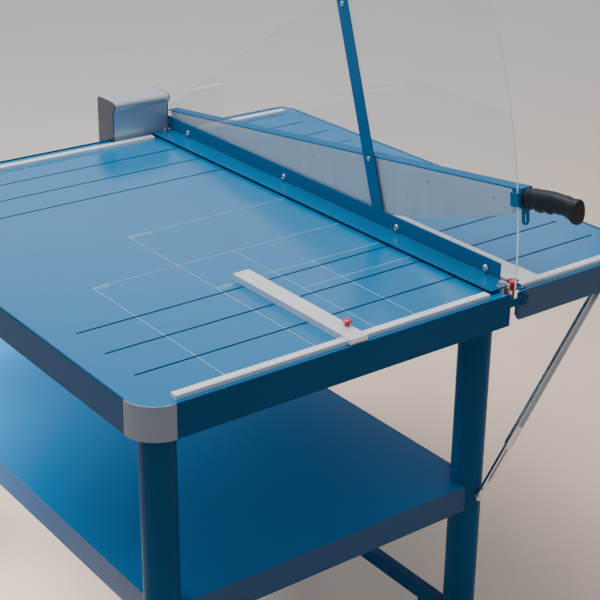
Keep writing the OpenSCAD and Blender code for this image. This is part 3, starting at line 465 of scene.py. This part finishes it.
def groove_shade_strips():
    """Painted shade: dark strips in the grooves of both tables, and thin dark strips beside them as the painted
    shadow of the grooves' rolled lips.
    """
    material = lacquer("groove_shade_blue", (0.0, 0.028, 0.08), 0.5, edge=0.0, specular=0.03)
    tables = (("groove_shade_main", -705.5, -29, "frame"), ("groove_shade_side", 78.5, 302.5, "side_table"))
    for name, x0, x1, body in tables:
        bm = bmesh.new()
        for y in GROOVES:
            add_box(bm, (x0, y - GROOVE_HALF, GROOVE_SHADE_Z[0]),
                    (x1, y + GROOVE_HALF, GROOVE_SHADE_Z[1]))
            for side in (-1, 1):
                lip_shade = (y + side * (GROOVE_HALF + LIP_SHADE_STEP), y + side * LIP_SHADE_OUTER)
                add_box(bm, (x0, min(lip_shade), LIP_SHADE_Z[0]), (x1, max(lip_shade), LIP_SHADE_Z[1]))
        new_piece(name, bm, material, body)


def rear_scale():
    bm = bmesh.new()
    for i in range(TICKS):
        length = 6 if i % 10 == 0 else 4.5 if i % 5 == 0 else 3
        x = TICKS_X0 + TICK_STEP * i
        add_box(bm, (x - TICK_HALF, TICKS_Y - length, MARK_Z[0]), (x + TICK_HALF, TICKS_Y, MARK_Z[1]))
    new_piece("rear_scale", bm, PRINT_WHITE, "frame")


# ---- Grip ----

GRIP_X = 12.5
GRIP_U0 = 1141.6  # the grip's start, along the arm from the pivot
GRIP_LENGTH = 121.5
GRIP_STATIONS = 96
GRIP_SIDES = 48
GRIP_SQUARENESS = 2.35  # exponent of the section: 2 is an ellipse, more is squarer


def spline(points, x):
    """Cosine-eased interpolation through (x, y) points."""
    if x <= points[0][0]:
        return points[0][1]
    for (x0, y0), (x1, y1) in zip(points, points[1:]):
        if x <= x1:
            k = (1 - math.cos(math.pi * (x - x0) / (x1 - x0))) / 2
            return y0 + (y1 - y0) * k
    return points[-1][1]


def grip():
    """The handle: its top, bottom and half width along its length, with finger grooves below."""
    top = ((0, 27), (2, 31), (22, 34), (60, 35.4), (92, 33.5), (108, 31), (116, 31.8), (121.5, 31))
    bottom = ((0, -1), (2, -4.6), (10, -5.5), (20, -0.5), (30, -5.5), (37, -6), (46, -0.2), (54, -4.6),
              (59, -4.8), (68, 0.6), (76, -1.8), (88, -1.2), (104, -6), (112, -11.3), (118, -12), (121.5, -9.5))
    half = ((0, 11), (2, 13), (40, 13.6), (80, 12.6), (100, 13), (113, 15), (118, 15), (121.5, 12.5))
    power = 2 / GRIP_SQUARENESS
    rings = []
    for i in range(GRIP_STATIONS + 1):
        s = i * GRIP_LENGTH / GRIP_STATIONS
        t, b, h = spline(top, s), spline(bottom, s), spline(half, s)
        mid, tall = (t + b) / 2, (t - b) / 2
        ring = []
        for k in range(GRIP_SIDES):
            a = 2 * math.pi * k / GRIP_SIDES
            c, n = math.cos(a), math.sin(a)
            ring.append(on_arm(GRIP_X + h * math.copysign(abs(c) ** power, c), GRIP_U0 + s,
                               mid + tall * math.copysign(abs(n) ** power, n)))
        rings.append(ring)
    # a shallow dome on the end
    last = rings[-1]
    centre = sum(last, Vector()) / GRIP_SIDES
    outward = (on_arm(0, 1, 0) - on_arm(0, 0, 0)).normalized()
    for k, push in ((0.93, 0.0008), (0.8, 0.0012), (0.5, 0.0013), (0.2, 0.0013)):
        rings.append([centre + (p - centre) * k + outward * push for p in last])
    bm = bmesh.new()
    add_loft(bm, rings)
    new_piece("moulded_grip", bm, MATERIALS["black_plastic"], "arm",
              smooth=True, replaces=("grip",))


# ---- Springs ----

CLAMP_ROD_X = -22
CLAMP_ROD_Y = (3, 1100)
LIFT_SPRING_X = -68  # the coil's right end


def clamp_springs():
    """The coils round the clamp's rods; wire is a radius and mean the coil's, both in mm."""
    bm = bmesh.new()
    bottom, top, wire, mean = -14.0, 5.1, 1.1, 6.1
    slack = 0.06  # between a coil and its seat
    turns = 7
    steps = turns * 28
    for y in CLAMP_ROD_Y:
        path = []
        for i in range(steps + 1):
            k = i / steps
            a = 2 * math.pi * turns * k
            # dead turns at both ends
            rise = min(max((k - 0.08) / 0.84, 0), 1)
            z = bottom + wire + slack + (top - bottom - 2 * wire - 2 * slack) * rise
            path.append(at(CLAMP_ROD_X + mean * math.cos(a), y + mean * math.sin(a), z))
        add_tube(bm, path, wire * MM)
    piece = new_piece("clamp_spring_coils", bm, MATERIALS["zinc"], "frame",
                      smooth=True, replaces=("clamp_springs",))
    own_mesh(piece)


def lift_spring():
    """The torsion spring on the pivot's axis, close wound, with its tail on the seat."""
    bm = bmesh.new()
    wire, mean, turns = 1.4, 7.8, 5.5
    steps = int(turns * 36)
    path = []
    for i in range(steps + 1):
        k = i / steps
        a = 2 * math.pi * turns * k
        x = LIFT_SPRING_X - 2 * wire * turns * k
        path.append(at(x, PIVOT[1] - mean * math.sin(a), PIVOT[2] + mean * math.cos(a)))
    # the last turn ends at the bottom of the coil and runs back along the seat
    foot_x = LIFT_SPRING_X - 2 * wire * turns
    foot_z = PIVOT[2] - mean
    path += [at(foot_x, PIVOT[1] + y, foot_z) for y in (4, 8, 12, 16, 19)]
    add_tube(bm, path, wire * MM, 12)
    new_piece("lift_spring_coil", bm, MATERIALS["dark_steel"], "frame",
              smooth=True, replaces=("lift_spring",))


# ---- Guard ----

WELD = 1e-5  # m: vertices nearer than this are one
GUARD_THIN = 0.12 * MM  # taken off each of the sheet's faces
RIM_GLOW_OUT = 0.12 * MM  # thickness of the rim's shell, which glows a little as a painted highlight
LARGEST_HOLE = 50 * MM


def guard_sheet():
    """The guard, a hair thinner than its node, so that it shares no face with what it bolts to."""
    low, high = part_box("blade_guard")
    middle = (low.x + high.x) / 2
    bm = bmesh.new()
    bm.from_mesh(NODES["blade_guard"].data)
    bmesh.ops.remove_doubles(bm, verts=bm.verts, dist=WELD)
    for v in bm.verts:
        v.co.x += GUARD_THIN * (1 if v.co.x < middle else -1)
    new_piece("guard_sheet", bm, MATERIALS["clear_plastic"], "clamp",
              replaces=("blade_guard",))


def guard_rim_glow():
    """A thin shell on the guard's polished rim, pale and glowing a little as a painted highlight."""
    bm = bmesh.new()
    bm.from_mesh(NODES["blade_guard"].data)
    wide_faces = [f for f in bm.faces if abs(f.normal.x) > 0.5]
    bmesh.ops.delete(bm, geom=wide_faces, context="FACES")
    # keep only the outer rim, not the bolt holes
    seen = set()
    holes = []
    for f in bm.faces:
        if f.index in seen:
            continue
        stack, island = [f], []
        while stack:
            g = stack.pop()
            if g.index in seen:
                continue
            seen.add(g.index)
            island.append(g)
            stack.extend(h for e in g.edges for h in e.link_faces if h.index not in seen)
        heights = [v.co.z for g in island for v in g.verts]
        if max(heights) - min(heights) < LARGEST_HOLE:
            holes.extend(island)
    bmesh.ops.delete(bm, geom=holes, context="FACES")
    bmesh.ops.remove_doubles(bm, verts=bm.verts, dist=WELD)
    bmesh.ops.solidify(bm, geom=bm.faces[:] + bm.edges[:] + bm.verts[:], thickness=-RIM_GLOW_OUT)
    t = Tree("rim_painted_glow")
    cloud = t.noise(90, 3)
    # painted highlight: a pale, faintly glowing tint on the rim
    rim_highlight_tint = t.ramp(cloud, [(0.3, (0.72, 0.78, 0.8)), (0.7, (0.9, 0.93, 0.94))])
    shader = t.principled(Base_Color=rim_highlight_tint, Roughness=t.remap(cloud, 0.12, 0.22))
    shader.inputs["Transmission Weight"].default_value = 0.35
    shader.inputs["Emission Color"].default_value = (0.9, 0.95, 1.0, 1)
    shader.inputs["Emission Strength"].default_value = 0.12
    new_piece("guard_rim_glow", bm, t.finish(shader), "clamp")


format_marks()
groove_shade_strips()
rear_scale()
grip()
clamp_springs()
lift_spring()
guard_sheet()
guard_rim_glow()


# ---- Stage and light ----

FLOOR_HALF = 60
TABLE_MIDDLE = (0, 0, 0.8)


def stage():
    """The floor, warm near the table and paler behind it."""
    t = Tree("floor")
    near = t.ramp(t.noise(3, 4), [(0.3, (0.92, 0.70, 0.54)), (0.7, (0.95, 0.73, 0.57))])
    far = t.ramp(t.noise(2, 4), [(0.3, (0.88, 0.83, 0.80)), (0.7, (0.92, 0.87, 0.84))])
    split = t.add("ShaderNodeSeparateXYZ")
    t.link(t.coord, split.inputs[0])
    base = t.mix(t.remap(split.outputs["Y"], 0.0, 1.0, 0.5, 4.0), near, far)
    shader = t.principled(Base_Color=base, Roughness=t.remap(t.noise(20, 3), 0.5, 0.6))
    mesh = bpy.data.meshes.new("floor")
    corners = [(x * FLOOR_HALF, y * FLOOR_HALF, 0) for x, y in ((-1, -1), (1, -1), (1, 1), (-1, 1))]
    mesh.from_pydata(corners, [], [(0, 1, 2, 3)])
    mesh.materials.append(t.finish(shader))
    floor = bpy.data.objects.new("floor", mesh)
    bpy.context.scene.collection.objects.link(floor)


def softbox(name, place, target, size, power, spread=180):
    """An area light aimed at a point; size in metres, power in watts, spread in degrees."""
    data = bpy.data.lights.new(name, "AREA")
    data.shape = "RECTANGLE"
    data.size, data.size_y = size
    data.energy = power
    data.spread = math.radians(spread)
    light = bpy.data.objects.new(name, data)
    light.location = place
    light.rotation_euler = (Vector(target) - Vector(place)).to_track_quat("-Z", "Y").to_euler()
    bpy.context.scene.collection.objects.link(light)


def lights():
    world = bpy.data.worlds.new("studio")
    world.use_nodes = True
    tree = world.node_tree
    background = tree.nodes["Background"]
    background.inputs["Strength"].default_value = 0.68
    # a backdrop that is dimmer near the horizon
    coord = tree.nodes.new("ShaderNodeTexCoord")
    split = tree.nodes.new("ShaderNodeSeparateXYZ")
    ramp = tree.nodes.new("ShaderNodeValToRGB")
    tree.links.new(coord.outputs["Generated"], split.inputs[0])
    tree.links.new(split.outputs["Z"], ramp.inputs["Fac"])
    tree.links.new(ramp.outputs["Color"], background.inputs["Color"])
    low, high = ramp.color_ramp.elements
    low.position, low.color = 0.27, (0.24, 0.27, 0.32, 1)
    high.position, high.color = 0.37, (0.80, 0.84, 0.90, 1)
    bpy.context.scene.world = world
    softbox("shelf_light", (-0.70, 0.62, 0.62), (-0.42, 0.34, 0.36), (0.7, 0.15), 5.5, 80)
    softbox("rear_band", (3.9, 6.2, 3.6), TABLE_MIDDLE, (6, 1.0), 22)
    softbox("overhead", (-0.6, 0.9, 3.8), TABLE_MIDDLE, (2.8, 2.8), 140)


stage()
lights()
